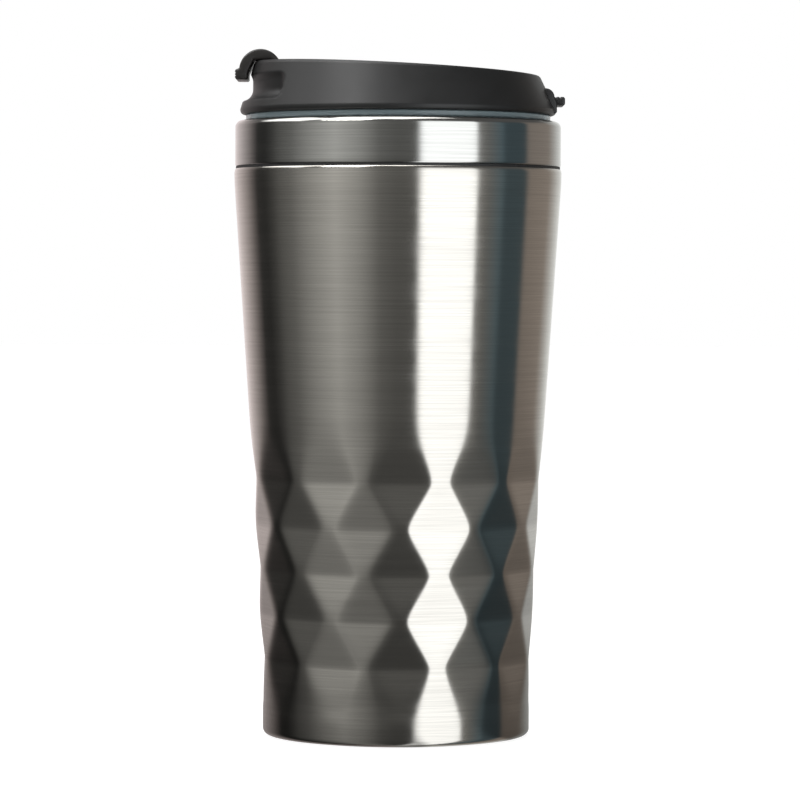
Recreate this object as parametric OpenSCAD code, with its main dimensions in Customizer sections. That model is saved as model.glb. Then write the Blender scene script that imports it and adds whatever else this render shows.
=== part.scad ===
// Insulated travel mug: a steel shell with pressed diamond facets around a plastic liner, and a push-on
// lid with a flip strap that closes the drinking slot. Origin: centre of the base, on the table. +Z is
// up, the drinking side is -X and the pry tab is +X.

/* [Body] */
// Outer diameter of the shell at its top edge
mouth_d = 80; // [72:0.5:96]
// Outer diameter of the shell at its bottom edge
base_d = 65.3; // [58:0.1:72]
// Outer diameter of the shell where the facets run out
waist_d = 71.5; // [66:0.1:78]
// Height of the body, from the table to the top of the collar
body_h = 150.3; // [125:0.05:185]
// Thickness of the shell's and the collar's sheet steel
sheet_t = 0.5; // [0.4:0.1:0.8]
// Radius of the rolled edge at the bottom of the shell
edge_r = 1.5; // [1:0.1:2]
// Height of the collar ring
collar_h = 11.15; // [7:0.05:14]
// Height of the seam between shell and collar
seam_h = 0.5; // [0.3:0.1:1]
// How far the collar stands back from the shell
collar_inset = 0.2; // [0.1:0.1:0.6]
// Radius of the collar's rounded top edge
collar_edge_r = 1.6; // [0.8:0.1:2]

/* [Facets] */
// Facets around the shell in each row
facet_count = 12; // [10:1:14]
// Rows of facets
facet_rows = 5; // [3:1:5]
// Height from one row to the next
facet_pitch = 11; // [10:0.5:12]
// Height of the lowest row above the table
first_row_z = 19.2; // [18:0.2:22]
// Angle from +X to the first facet of the lowest row
facet_turn = 2.2; // [0:0.1:30]
// Depth of the valleys in the facets below the shell's cone
facet_depth = 0.77; // [0.4:0.01:0.9]
// How far above and below the outer rows the facets run out
facet_run_out = 9.5; // [8:0.5:11]

/* [Liner and base] */
// Wall of the liner
liner_t = 1.6; // [1.2:0.1:2.4]
// Air gap between the liner and the inner corners of the facets
air_gap = 1.9; // [1.2:0.1:3]
// Width of the rim around the mouth, from its bore to the outside of the shell
rim_w = 4.4; // [3.6:0.1:6]
// Height of the inside of the cup's floor above the table
floor_z = 9; // [8:0.5:14]
// Length of the straight bore at the mouth
bore_h = 20; // [16:1:26]
// How far the foot pad stands below the shell's edge
pad_proud = 0.3; // [0.2:0.1:0.6]
// Thickness of the foot pad
pad_t = 0.8; // [0.6:0.1:1.5]
// Thickness of the base cap
base_t = 1.8; // [1.4:0.1:3]
// Height of the base cap's skirt
base_skirt_h = 6; // [4:0.5:8]

/* [Lid] */
// How far the lid's bottom edge stands back from the outside of the shell
lid_inset = 1.4; // [0.5:0.1:2]
// Width of the lid's sloped side, from its bottom edge in to its rim
side_w = 3.75; // [3:0.05:6]
// Height of the rim above the lid's bottom edge, on the lid's axis
rim_h = 11.25; // [9:0.05:14]
// Slant of the rim, in degrees, high at the drinking side
rim_slant = 2.73; // [0:0.01:4]
// How far the rim stands towards the drinking side
rim_shift = 0.25; // [0:0.05:1]
// Height of the lid's bottom edge above the collar
lid_gap = 1.5; // [1:0.05:2]
// Height at which the lid's sloped side starts, above its bottom edge
side_start = 2.5; // [2:0.1:4]
// Wall of the lid cap
lid_t = 2; // [1.6:0.1:2.6]
// Depth of the deck below the rim, on the lid's axis
deck_depth = 4.8; // [3.5:0.05:5]
// Radius of the rounding at the top and bottom of the groove under the lip
scoop_r = 3; // [2.5:0.1:4]
// Angle over which the groove runs, between its round ends
scoop_angle = 74; // [40:1:100]
// Depth of the plug ring below the collar's top
plug_h = 8; // [5:0.5:12]
// Width of the seal's visible flange, outside the bore
seal_w = 1.6; // [1:0.1:2.4]

/* [Strap] */
// Width of the flip strap
strap_w = 15; // [12:0.5:18]
// Thickness of the flip strap
strap_t = 2.2; // [1.8:0.1:2.6]
// Distance from the mug's axis to the strap's hinge, towards the pry tab
hinge_x = 8; // [4:0.5:14]
// Diameter of the hinge pin
pin_d = 2.4; // [2:0.1:2.6]
// Diameter of the strap's hinge barrel
barrel_d = 5; // [4.6:0.1:5.4]
// Outer radius of the hood over the lip
hood_r = 5.2; // [5:0.1:5.8]
// Thickness of the thumb tab
tab_t = 2.55; // [2.2:0.05:3.4]
// Length of the drinking slot, across the lid
slot_w = 11; // [8:0.5:12]
// Width of the drinking slot, towards the lip
slot_d = 6; // [5:0.5:7]

/* [Pry tab] */
// Width of the pry tab
pry_w = 12; // [8:1:18]
// Thickness of the pry tab
pry_t = 2.1; // [1.8:0.1:3.2]
// Reach of the pry tab past the lid's bottom edge
pry_reach = 2; // [1:0.5:4]

/* [Hidden] */
$fn = 96;

// Clearances
fit = 0.05;          // glued or pressed plastic in steel
rest_gap = 0.1;      // under the seal's flange
seal_gap = 0.08;     // between the seal's lips and the bore
pin_fit = 0.05;      // hinge pin in the strap's barrel
swing_gap = 0.5;     // around what turns with the strap
past = 1;            // how far a cut runs past what it cuts

// Body heights and radii
shell_z0 = pad_proud;
collar_z0 = body_h - collar_h;
shell_z1 = collar_z0 - seam_h;
mouth_r = mouth_d / 2;
base_r = base_d / 2;
waist_r = waist_d / 2;
collar_r = mouth_r - collar_inset;
bore_r = mouth_r - rim_w;
top_row_z = first_row_z + (facet_rows - 1) * facet_pitch;
waist_z = top_row_z + 0.78 * facet_pitch;
foot_z = first_row_z - 0.85 * facet_pitch;
straight_h = 3;      // straight stretch under the shell's top edge
shoulder_z = shell_z1 - straight_h;

function mix(a, b, t) = a + (b - a) * t;
function shell_r(z) =
    z < foot_z ? base_r :
    z < waist_z ? mix(base_r, waist_r, (z - foot_z) / (waist_z - foot_z)) :
    z < shoulder_z ? mix(waist_r, mouth_r, (z - waist_z) / (shoulder_z - waist_z)) : mouth_r;

// Facets
facet_half_w = 1.25 * sqrt(2 * waist_r * facet_depth);
function facet_r(z) = shell_r(z) - facet_depth;
function facet_slope(z, rise) = (shell_r(z + rise) - facet_r(z)) / abs(rise);

// Liner
neck_z = body_h - bore_h;
liner_z0 = floor_z - liner_t;
liner_top_r = bore_r + liner_t;
neck_r = mouth_r - sheet_t - fit;
rim_bead_t = 0.8;    // plastic rim that shows inside the collar's rolled top
gasket_r0 = mouth_r - 2;
gasket_r1 = mouth_r - 0.35;
function liner_r(z) = facet_r(z) - sheet_t - air_gap;

// Base
base_z0 = shell_z0 + sheet_t;
lip_in_r = base_r - 3;
pad_r = lip_in_r - 0.4;

// Lid heights and radii
lid_z0 = body_h + lid_gap;
rim_z = lid_z0 + rim_h;
lid_r = mouth_r - lid_inset;
rim_r = lid_r - side_w;
side_z = lid_z0 + side_start;
side_slope = side_w / (rim_z - side_z);
deck_z = rim_z - deck_depth;
deck_t = lid_t;
dish_r = rim_r - lid_t;
scoop_wall_r = rim_r + rim_shift + 0.4;
hollow_r = scoop_wall_r - lid_t;
lip_z = rim_z + (rim_r + rim_shift) * tan(rim_slant);
seal_z0 = body_h + rest_gap;
seal_r = bore_r + seal_w;
plug_r = bore_r - 1.4;
plug_t = 1.8;
plug_flange_r = seal_r - 0.7;    // the cap's edge holds the seal's flange down too
plug_flange_t = 1.2;
plug_z0 = body_h - plug_h;
sleeve_t = 0.7;

// Strap
hinge_z = deck_z + barrel_d / 2 + swing_gap;
strap_z0 = deck_z + swing_gap + 0.1;
strap_z1 = strap_z0 + strap_t;
hood_x = -(rim_r - 1.35);
hood_z = lip_z - 2.4;
hood_t = 2.1;
hood_in_r = hood_r - hood_t;
lip_gap = 0.2;       // between the hood and the lip
tab_x = hood_x - hood_r - 1;
tab_z0 = hood_z - 2.2;
slot_x = -(rim_r - 8);
slot_gap = 0.5;
ear_t = 2.6;
ear_y0 = strap_w / 2 + 0.3;
vent_d = 1.6;
vent_x = -14;

// A ring turned about the mug's axis from [radius, height] points
module turned(points) {
    rotate_extrude() polygon(points);
}

// Points of a quarter circle from angle a0 to a1 about [r, z]
function arc(r, z, radius, a0, a1, steps = 6) =
    [for (i = [0 : steps]) let (a = mix(a0, a1, i / steps)) [r + radius * cos(a), z + radius * sin(a)]];

// Two flat faces that meet in a level valley: everything outside them, for one facet
module facet_cut(row, angle, inset) {
    z = first_row_z + row * facet_pitch;
    valley = facet_r(z) - inset;
    reach = 1.06 * facet_pitch;
    up = facet_slope(z, row == facet_rows - 1 ? facet_run_out : facet_pitch);
    down = facet_slope(z, row == 0 ? -facet_run_out : -facet_pitch);
    far = waist_r + 6;
    rotate([0, 0, angle])
        rotate([90, 0, 0])
            linear_extrude(2 * facet_half_w, center = true)
                polygon([
                    [valley, z],
                    [valley + up * reach, z + reach],
                    [far, z + reach],
                    [far, z - reach],
                    [valley + down * reach, z - reach],
                ]);
}

// The shell's form, stood in by inset: solid, with all facets pressed
module shell_form(inset, z0, z1) {
    edge = edge_r - inset;
    difference() {
        turned(concat(
            [[0, z0]],
            arc(base_r - edge_r, z0 + edge, edge, -90, 0),
            [for (z = [foot_z, waist_z, shoulder_z, z1]) [shell_r(z) - inset, z]],
            [[0, z1]]
        ));
        for (row = [0 : facet_rows - 1])
            for (i = [0 : facet_count - 1])
                facet_cut(row, facet_turn + (i + (row % 2) / 2) * 360 / facet_count, inset);
    }
}

module outer_shell() {
    color("silver")
    difference() {
        shell_form(0, shell_z0, shell_z1);
        shell_form(sheet_t, shell_z0 + sheet_t, shell_z1 + past);
        translate([0, 0, shell_z0 - past]) cylinder(r = lip_in_r, h = sheet_t + 2 * past);
    }
}

module seam_gasket() {
    color("black")
    turned([
        [gasket_r0, shell_z1],
        [gasket_r1, shell_z1],
        [gasket_r1, collar_z0],
        [gasket_r0, collar_z0],
    ]);
}

module collar_ring() {
    roll_r = bore_r + rim_bead_t;
    color("silver")
    turned(concat(
        [[collar_r, collar_z0]],
        arc(collar_r - collar_edge_r, body_h - collar_edge_r, collar_edge_r, 0, 90),
        [[roll_r, body_h], [roll_r, body_h - sheet_t]],
        arc(collar_r - collar_edge_r, body_h - collar_edge_r, collar_edge_r - sheet_t, 90, 0),
        [[collar_r - sheet_t, collar_z0]]
    ));
}

module inner_liner() {
    inner_r = collar_r - sheet_t - fit;
    corner = 4;
    inside_r = liner_r(floor_z) - liner_t;
    color("dimgray")
    turned(concat(
        [[0, liner_z0]],
        [[liner_r(liner_z0) - corner, liner_z0]],
        arc(liner_r(floor_z) - corner, liner_z0 + corner, corner, -75, 0, 4),
        [
            [liner_r(waist_z), waist_z],
            [liner_top_r, neck_z - liner_t],
            [neck_r, shoulder_z + fit],
            [neck_r, shell_z1],
            [gasket_r0, shell_z1],
            [gasket_r0, collar_z0],
            [inner_r, collar_z0],
        ],
        arc(inner_r - collar_edge_r + sheet_t + fit, body_h - collar_edge_r, collar_edge_r - sheet_t - fit, 0, 90, 4),
        [
            [bore_r + rim_bead_t, body_h - sheet_t - fit],
            [bore_r + rim_bead_t, body_h],
            [bore_r, body_h],
            [bore_r, neck_z],
            [liner_r(waist_z) - liner_t, waist_z],
        ],
        arc(inside_r - corner, floor_z + corner, corner, 0, -90, 5),
        [[0, floor_z]]
    ));
}

module base_cap() {
    skirt_r = base_r - sheet_t - fit;
    inner = skirt_r - base_t;
    color("black")
    turned([
        [0, base_z0],
        [lip_in_r - fit, base_z0],
        [lip_in_r - fit, base_z0 + fit],
        [base_r - edge_r, base_z0 + fit],
        [skirt_r, base_z0 + edge_r],
        [skirt_r, base_z0 + base_skirt_h],
        [inner, base_z0 + base_skirt_h],
        [inner, base_z0 + base_t],
        [0, base_z0 + base_t],
    ]);
}

module foot_pad() {
    color("dimgray")
    translate([0, 0, base_z0 - pad_t]) cylinder(r = pad_r, h = pad_t);
}

// The lid's slanted side as a solid cone, from below the lid up past its rim
module lid_side() {
    drop = 16;
    rise = 5;
    translate([0, 0, rim_z])
        rotate([0, rim_slant, 0])
            translate([-rim_shift, 0, -drop])
                cylinder(
                    r1 = rim_r + drop * side_slope,
                    r2 = rim_r - rise * side_slope,
                    h = drop + rise
                );
}

module below_rim() {
    translate([0, 0, rim_z])
        rotate([0, rim_slant, 0])
            translate([0, 0, -30])
                cylinder(r = lid_r + 10, h = 30);
}

// Groove under the lip, with a straight stretch in its section and round ends
module scoop() {
    depth_r = scoop_wall_r + scoop_r;
    z0 = lip_z - 6.8;
    z1 = lip_z - 5.1;
    rotate([0, 0, 180 - scoop_angle / 2])
        rotate_extrude(angle = scoop_angle) {
            for (z = [z0, z1]) translate([depth_r, z]) circle(scoop_r);
            translate([scoop_wall_r, z0]) square([2 * scoop_r, z1 - z0]);
        }
    for (side = [-1, 1])
        rotate([0, 0, 180 + side * scoop_angle / 2]) translate([depth_r, 0, 0]) {
            for (z = [z0, z1]) translate([0, 0, z]) sphere(scoop_r);
            translate([0, 0, z0]) cylinder(r = scoop_r, h = z1 - z0);
        }
}

module drinking_slot(grow, z0, z1) {
    half = (slot_w - slot_d) / 2;
    radius = slot_d / 2 + grow;
    translate([slot_x, 0, z0]) {
        for (side = [-1, 1]) translate([0, side * half, 0]) cylinder(r = radius, h = z1 - z0);
        translate([-radius, -half, 0]) cube([2 * radius, 2 * half, z1 - z0]);
    }
}

module pry_tab() {
    boss_r = 2.2;
    boss_x = lid_r - boss_r - 0.6;
    boss_z = lid_z0 + 4.3;
    boss_w = pry_w + 2;
    translate([boss_x, 0, boss_z])
        rotate([90, 0, 0]) cylinder(r = boss_r, h = boss_w, center = true);
    translate([boss_x - boss_r, -boss_w / 2, lid_z0 + 0.4])
        cube([lid_r - boss_x + boss_r, boss_w, boss_z - lid_z0 - 0.4]);
    translate([boss_x, -pry_w / 2, lid_z0 + 2.35])
        cube([lid_r + pry_reach - boss_x, pry_w, pry_t]);
}

module hinge_ears() {
    for (side = [-1, 1])
        translate([hinge_x, side * (ear_y0 + ear_t / 2), 0]) {
            translate([0, 0, hinge_z]) rotate([90, 0, 0])
                cylinder(d = barrel_d - 0.4, h = ear_t, center = true);
            translate([-barrel_d / 2 + 0.2, -ear_t / 2, deck_z - deck_t / 2])
                cube([barrel_d - 0.4, ear_t, hinge_z - deck_z + deck_t / 2]);
        }
}

module lid_cap() {
    round_r = 1;
    color("black")
    difference() {
        union() {
            difference() {
                intersection() {
                    turned(concat(
                        [[0, lid_z0]],
                        arc(lid_r - round_r, lid_z0 + round_r, round_r, -90, 0),
                        [[lid_r, rim_z + 8], [0, rim_z + 8]]
                    ));
                    lid_side();
                    below_rim();
                }
                translate([0, 0, deck_z]) cylinder(r1 = dish_r - 0.5, r2 = dish_r, h = lip_z + past - deck_z);
                translate([0, 0, lid_z0 - past]) cylinder(r = hollow_r, h = deck_z - deck_t - lid_z0 + past);
                translate([0, 0, lid_z0 - past])
                    cylinder(r = plug_flange_r + fit, h = plug_flange_t + fit + past);
                scoop();
            }
            hinge_ears();
            difference() {
                pry_tab();
                translate([0, 0, lid_z0 - past]) cylinder(r = lid_r - lid_t, h = 30);
            }
        }
        drinking_slot(slot_gap, deck_z - deck_t - past, deck_z + past);
        translate([vent_x, 0, deck_z - deck_t - past]) cylinder(d = vent_d, h = deck_t + 2 * past);
        translate([hinge_x, 0, hinge_z])
            rotate([90, 0, 0]) cylinder(d = pin_d, h = strap_w + 20, center = true);
    }
}

module lid_plug_ring() {
    sleeve_r = plug_r - sleeve_t;
    seal_top = lid_z0;
    color("black")
    turned([
        [sleeve_r - plug_t, plug_z0],
        [plug_r + 0.9, plug_z0],
        [plug_r + 0.9, plug_z0 + 1.2],
        [sleeve_r, plug_z0 + 1.2],
        [sleeve_r, seal_top],
        [plug_flange_r, seal_top],
        [plug_flange_r, seal_top + plug_flange_t],
        [sleeve_r - plug_t, seal_top + plug_flange_t],
    ]);
}

module lid_seal() {
    sleeve_r = plug_r - sleeve_t;
    lip_r = bore_r - seal_gap;
    bead = 0.5;
    color("lightsteelblue", 0.6)
    turned([
        [sleeve_r, plug_z0 + 1.2],
        [plug_r, plug_z0 + 1.2],
        [plug_r, plug_z0 + 2],
        [lip_r, plug_z0 + 2.6],
        [lip_r, plug_z0 + 2.6 + bead],
        [plug_r, plug_z0 + 3.8],
        [plug_r, plug_z0 + 4.4],
        [lip_r, plug_z0 + 5],
        [lip_r, plug_z0 + 5 + bead],
        [plug_r, plug_z0 + 6.2],
        [plug_r, seal_z0],
        [seal_r, seal_z0],
        [seal_r, lid_z0],
        [sleeve_r, lid_z0],
    ]);
}

// The lip's section with a gap around it, which the hood leaves free
module lip_space() {
    lip_x = -(rim_r + rim_shift + lip_gap);
    wide_x = lip_x - 3 * side_slope;
    rotate([90, 0, 0]) linear_extrude(height = strap_w + past, center = true) polygon([
        [wide_x, tab_z0 - past],
        [wide_x, lip_z - 3],
        [lip_x, lip_z + lip_gap],
        [hood_x + hood_in_r, lip_z + lip_gap],
        [hood_x + hood_in_r, tab_z0 - past],
    ]);
}

module flip_strap() {
    riser_x = hood_x + hood_in_r;
    color("black")
    difference() {
        union() {
            translate([hinge_x, 0, hinge_z])
                rotate([90, 0, 0]) cylinder(d = barrel_d, h = strap_w, center = true);
            translate([riser_x, -strap_w / 2, strap_z0])
                cube([hinge_x - riser_x, strap_w, strap_t]);
            translate([riser_x, -strap_w / 2, strap_z0])
                cube([hood_t, strap_w, hood_z - strap_z0 + 0.5]);
            intersection() {
                translate([hood_x, 0, hood_z])
                    rotate([90, 0, 0]) cylinder(r = hood_r, h = strap_w, center = true);
                translate([hood_x - hood_r, -strap_w / 2, hood_z])
                    cube([2 * hood_r, strap_w, hood_r + past]);
            }
            translate([tab_x, -strap_w / 2, tab_z0])
                cube([hood_x - hood_in_r - tab_x, strap_w, tab_t]);
        }
        lip_space();
        translate([hinge_x, 0, hinge_z])
            rotate([90, 0, 0]) cylinder(r = pin_d / 2 + pin_fit, h = strap_w + 20, center = true);
        drinking_slot(-slot_d / 4, strap_z0 - past, strap_z0 + 1);
    }
}

module spout_plug() {
    color("gray")
    union() {
        drinking_slot(-slot_d / 4 - fit, strap_z0 - fit, strap_z0 + 1 - fit);
        drinking_slot(0.8, deck_z + 0.15, strap_z0);
        drinking_slot(-0.2, deck_z - deck_t - 0.2, deck_z + 0.2);
    }
}

module hinge_pin() {
    color("silver")
    translate([hinge_x, 0, hinge_z])
        rotate([90, 0, 0]) cylinder(d = pin_d, h = 2 * (ear_y0 + ear_t), center = true);
}

outer_shell();
seam_gasket();
collar_ring();
inner_liner();
base_cap();
foot_pad();
lid_cap();
lid_plug_ring();
lid_seal();
flip_strap();
spout_plug();
hinge_pin();
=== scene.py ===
import math
import bpy
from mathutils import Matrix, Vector


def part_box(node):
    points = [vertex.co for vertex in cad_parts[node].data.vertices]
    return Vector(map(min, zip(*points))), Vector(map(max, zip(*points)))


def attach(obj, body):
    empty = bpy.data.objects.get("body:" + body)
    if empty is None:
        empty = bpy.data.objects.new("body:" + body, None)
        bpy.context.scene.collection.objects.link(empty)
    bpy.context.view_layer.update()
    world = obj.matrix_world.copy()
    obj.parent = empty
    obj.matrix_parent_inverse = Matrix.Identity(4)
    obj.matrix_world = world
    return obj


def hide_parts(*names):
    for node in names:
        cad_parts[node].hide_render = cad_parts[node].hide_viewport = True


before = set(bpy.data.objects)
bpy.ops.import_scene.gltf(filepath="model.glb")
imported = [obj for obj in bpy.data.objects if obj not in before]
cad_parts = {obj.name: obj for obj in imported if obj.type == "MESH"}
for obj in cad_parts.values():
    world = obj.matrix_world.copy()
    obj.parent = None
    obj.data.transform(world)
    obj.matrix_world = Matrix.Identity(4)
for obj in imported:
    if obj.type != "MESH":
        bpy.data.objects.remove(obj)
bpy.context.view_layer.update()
mm = 0.001
print("frame loaded:", len(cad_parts), "nodes")


def toLinear(level):
    return level / 12.92 if level <= 0.04045 else ((level + 0.055) / 1.055) ** 2.4


def hexColour(code):
    return tuple(toLinear(int(code[i:i + 2], 16) / 255) for i in (1, 3, 5)) + (1.0,)


def addNode(tree, kind, inputs=None, **settings):
    node = tree.nodes.new(kind)
    for name, value in settings.items():
        setattr(node, name, value)
    for name, value in (inputs or {}).items():
        if isinstance(value, bpy.types.NodeSocket):
            tree.links.new(value, node.inputs[name])
        else:
            node.inputs[name].default_value = value
    return node


def newMaterial(name):
    material = bpy.data.materials.new(name)
    material.use_nodes = True
    material.node_tree.nodes.clear()
    return material, material.node_tree


def endMaterial(tree, shader):
    addNode(tree, "ShaderNodeOutputMaterial", {"Surface": shader.outputs[0]})


def selectOnly(obj):
    bpy.ops.object.select_all(action="DESELECT")
    obj.select_set(True)
    bpy.context.view_layer.objects.active = obj


def roundOff(r, z, radius, first, last, steps=6):  # points of an arc about (r, z), angles in degrees
    turns = [math.radians(first + (last - first) * i / steps) for i in range(steps + 1)]
    return [(r + radius * math.cos(a), z + radius * math.sin(a)) for a in turns]


def rows(first, last, count):  # evenly spaced values, both ends included
    return [first + (last - first) * i / (count - 1) for i in range(count)]


def startChain(name, first):  # an object with one vertex, in edit mode
    bpy.ops.object.select_all(action="DESELECT")
    bpy.ops.mesh.primitive_plane_add(size=mm, location=(0, 0, 0))
    obj = bpy.context.object
    obj.name = obj.data.name = name
    bpy.ops.object.mode_set(mode="EDIT")
    bpy.ops.mesh.select_all(action="SELECT")
    bpy.ops.mesh.merge(type="CENTER")
    bpy.ops.transform.translate(value=first)
    return obj


def extrudeChain(points):  # points in metres; the first one is already there
    for here, there in zip(points, points[1:]):
        step = [b - a for a, b in zip(here, there)]
        bpy.ops.mesh.extrude_region_move(TRANSFORM_OT_translate={"value": step})


def turnProfile(name, profile, steps=256, startAngle=0.0):
    # profile: (radius, height) in mm, spun about the mug's axis
    c, s = math.cos(startAngle), math.sin(startAngle)
    points = [(r * c * mm, r * s * mm, z * mm) for r, z in profile]
    points.append(points[0])
    obj = startChain(name, points[0])
    extrudeChain(points)
    bpy.ops.mesh.select_all(action="SELECT")
    bpy.ops.mesh.spin(steps=steps, angle=2 * math.pi, center=(0, 0, 0), axis=(0, 0, 1))
    bpy.ops.mesh.select_all(action="SELECT")
    bpy.ops.mesh.remove_doubles(threshold=0.002 * mm)
    bpy.ops.mesh.normals_make_consistent(inside=False)
    bpy.ops.object.mode_set(mode="OBJECT")
    return obj


def extrudeOutline(name, outline, y0, y1, edge=0.0):
    # outline: (x, z) in mm, pulled from y0 to y1, with both ends rounded off by edge
    points = [(x * mm, (y0 + edge) * mm, z * mm) for x, z in outline]
    obj = startChain(name, points[0])
    extrudeChain(points + [points[0]])
    bpy.ops.mesh.select_all(action="SELECT")
    bpy.ops.mesh.remove_doubles(threshold=0.002 * mm)
    bpy.ops.mesh.select_all(action="SELECT")
    bpy.ops.mesh.edge_face_add()
    length = (y1 - y0 - 2 * edge) * mm
    bpy.ops.mesh.extrude_region_move(TRANSFORM_OT_translate={"value": (0, length, 0)})
    bpy.ops.mesh.select_all(action="SELECT")
    bpy.ops.mesh.normals_make_consistent(inside=False)
    if edge:
        for side in (-1, 1):
            bpy.ops.mesh.select_all(action="DESELECT")
            bpy.ops.object.mode_set(mode="OBJECT")
            for face in obj.data.polygons:
                face.select = face.normal.y * side > 0.999 and len(face.vertices) > 4
            bpy.ops.object.mode_set(mode="EDIT")
            bpy.ops.mesh.select_mode(type="FACE")
            steps = 3
            for i in range(steps):
                a, b = (math.pi / 2 * k / steps for k in (i, i + 1))
                inward = edge * (math.cos(a) - math.cos(b))
                outward = edge * (math.sin(b) - math.sin(a))
                bpy.ops.mesh.inset(thickness=inward * mm, depth=outward * mm, use_even_offset=True)
            bpy.ops.mesh.select_mode(type="VERT")
    bpy.ops.object.mode_set(mode="OBJECT")
    return obj


def cutWith(obj, cutter, operation="DIFFERENCE"):
    selectOnly(obj)
    boolean = obj.modifiers.new("cut", "BOOLEAN")
    boolean.operation = operation
    boolean.solver = "EXACT"
    boolean.object = cutter
    bpy.ops.object.modifier_apply(modifier=boolean.name)
    bpy.data.objects.remove(cutter, do_unlink=True)


def smoothFinish(obj, degrees=35):
    selectOnly(obj)
    bpy.ops.object.shade_smooth_by_angle(angle=math.radians(degrees))


def finishPiece(obj, body, material, slot, *nodes):
    obj.data.materials.clear()
    obj.data.materials.append(material)
    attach(obj, body)
    if nodes:
        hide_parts(*nodes)


def softMin(a, b, blendWidth):
    return 0.5 * (a + b - math.sqrt((a - b) ** 2 + blendWidth ** 2))


def makeBrushedSteel(name, tone, roughness, streakDepth):
    # 18/8 stainless steel sheet, brushed around the axis: reflections stay sharp around the mug
    # and smear up and down, and fine level lines break them up
    material, tree = newMaterial(name)
    coords = addNode(tree, "ShaderNodeTexCoord")
    # lines about 0.26 mm apart and 25 mm long, coarser than real grit so that they show
    fine = addNode(tree, "ShaderNodeMapping", {"Vector": coords.outputs["Object"], "Scale": (40, 40, 3800)})
    fineNoise = addNode(tree, "ShaderNodeTexNoise", {"Vector": fine.outputs[0], "Scale": 1.0, "Detail": 3.0})
    # broader bands 3 mm high, from the pressure of the belt
    broad = addNode(tree, "ShaderNodeMapping", {"Vector": coords.outputs["Object"], "Scale": (12, 12, 330)})
    broadNoise = addNode(tree, "ShaderNodeTexNoise", {
        "Vector": broad.outputs[0], "Scale": 1.0, "Detail": 2.0})
    dark = tuple(level * 0.91 for level in tone[:3]) + (1.0,)
    light = tuple(min(level * 1.07, 1.0) for level in tone[:3]) + (1.0,)
    spread = addNode(tree, "ShaderNodeMapRange", {
        "Value": fineNoise.outputs["Fac"], "From Min": 0.3, "From Max": 0.7})
    colour = addNode(tree, "ShaderNodeMix", data_type="RGBA")
    tree.links.new(spread.outputs[0], colour.inputs[0])
    colour.inputs[6].default_value = dark
    colour.inputs[7].default_value = light
    rough = addNode(tree, "ShaderNodeMapRange", {
        "Value": broadNoise.outputs["Fac"], "From Min": 0.3, "From Max": 0.7,
        "To Min": roughness - 0.02, "To Max": roughness + 0.03})
    bump = addNode(tree, "ShaderNodeBump", {
        "Height": fineNoise.outputs["Fac"], "Strength": 0.12, "Distance": streakDepth * mm})
    around = addNode(tree, "ShaderNodeTangent", direction_type="RADIAL", axis="Z")
    steel = addNode(tree, "ShaderNodeBsdfPrincipled", {
        "Base Color": colour.outputs[2], "Roughness": rough.outputs[0], "Metallic": 1.0,
        "Anisotropic": 0.75, "Anisotropic Rotation": 0.25,
        "Normal": bump.outputs[0], "Tangent": around.outputs[0]})
    endMaterial(tree, steel)
    return material


def makePlastic(name, colour, roughness, grain, depth):
    # moulded polypropylene: a soft sheen over a fine spark-eroded texture, grain is its size in mm;
    # moulded rubber and foam differ in sheen and grain only
    material, tree = newMaterial(name)
    coords = addNode(tree, "ShaderNodeTexCoord")
    texture = addNode(tree, "ShaderNodeTexNoise", {
        "Vector": coords.outputs["Object"], "Scale": 1 / (grain * mm), "Detail": 2.0})
    cloud = addNode(tree, "ShaderNodeTexNoise", {
        "Vector": coords.outputs["Object"], "Scale": 1 / (9 * mm), "Detail": 3.0})
    base = hexColour(colour)
    tint = addNode(tree, "ShaderNodeMix", data_type="RGBA")
    tree.links.new(cloud.outputs["Fac"], tint.inputs[0])
    tint.inputs[6].default_value = tuple(level * 0.85 for level in base[:3]) + (1.0,)
    tint.inputs[7].default_value = tuple(level * 1.15 for level in base[:3]) + (1.0,)
    rough = addNode(tree, "ShaderNodeMapRange", {
        "Value": cloud.outputs["Fac"], "From Min": 0.3, "From Max": 0.7,
        "To Min": roughness - 0.04, "To Max": roughness + 0.04})
    bump = addNode(tree, "ShaderNodeBump", {
        "Height": texture.outputs["Fac"], "Strength": 0.5, "Distance": depth * mm})
    shader = addNode(tree, "ShaderNodeBsdfPrincipled", {
        "Base Color": tint.outputs[2], "Roughness": rough.outputs[0], "IOR": 1.49,
        "Normal": bump.outputs[0]})
    endMaterial(tree, shader)
    return material


def makeClearSilicone(name):
    # clear silicone rubber, smooth moulded: milky and faintly blue-grey, with a wet-looking gloss
    material, tree = newMaterial(name)
    coords = addNode(tree, "ShaderNodeTexCoord")
    cloud = addNode(tree, "ShaderNodeTexNoise", {
        "Vector": coords.outputs["Object"], "Scale": 1 / (4 * mm), "Detail": 2.0})
    rough = addNode(tree, "ShaderNodeMapRange", {
        "Value": cloud.outputs["Fac"], "To Min": 0.18, "To Max": 0.30})
    shader = addNode(tree, "ShaderNodeBsdfPrincipled", {
        "Base Color": hexColour("#a9bcc2"), "Roughness": rough.outputs[0], "IOR": 1.41,
        "Transmission Weight": 0.55})
    endMaterial(tree, shader)
    return material


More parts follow.
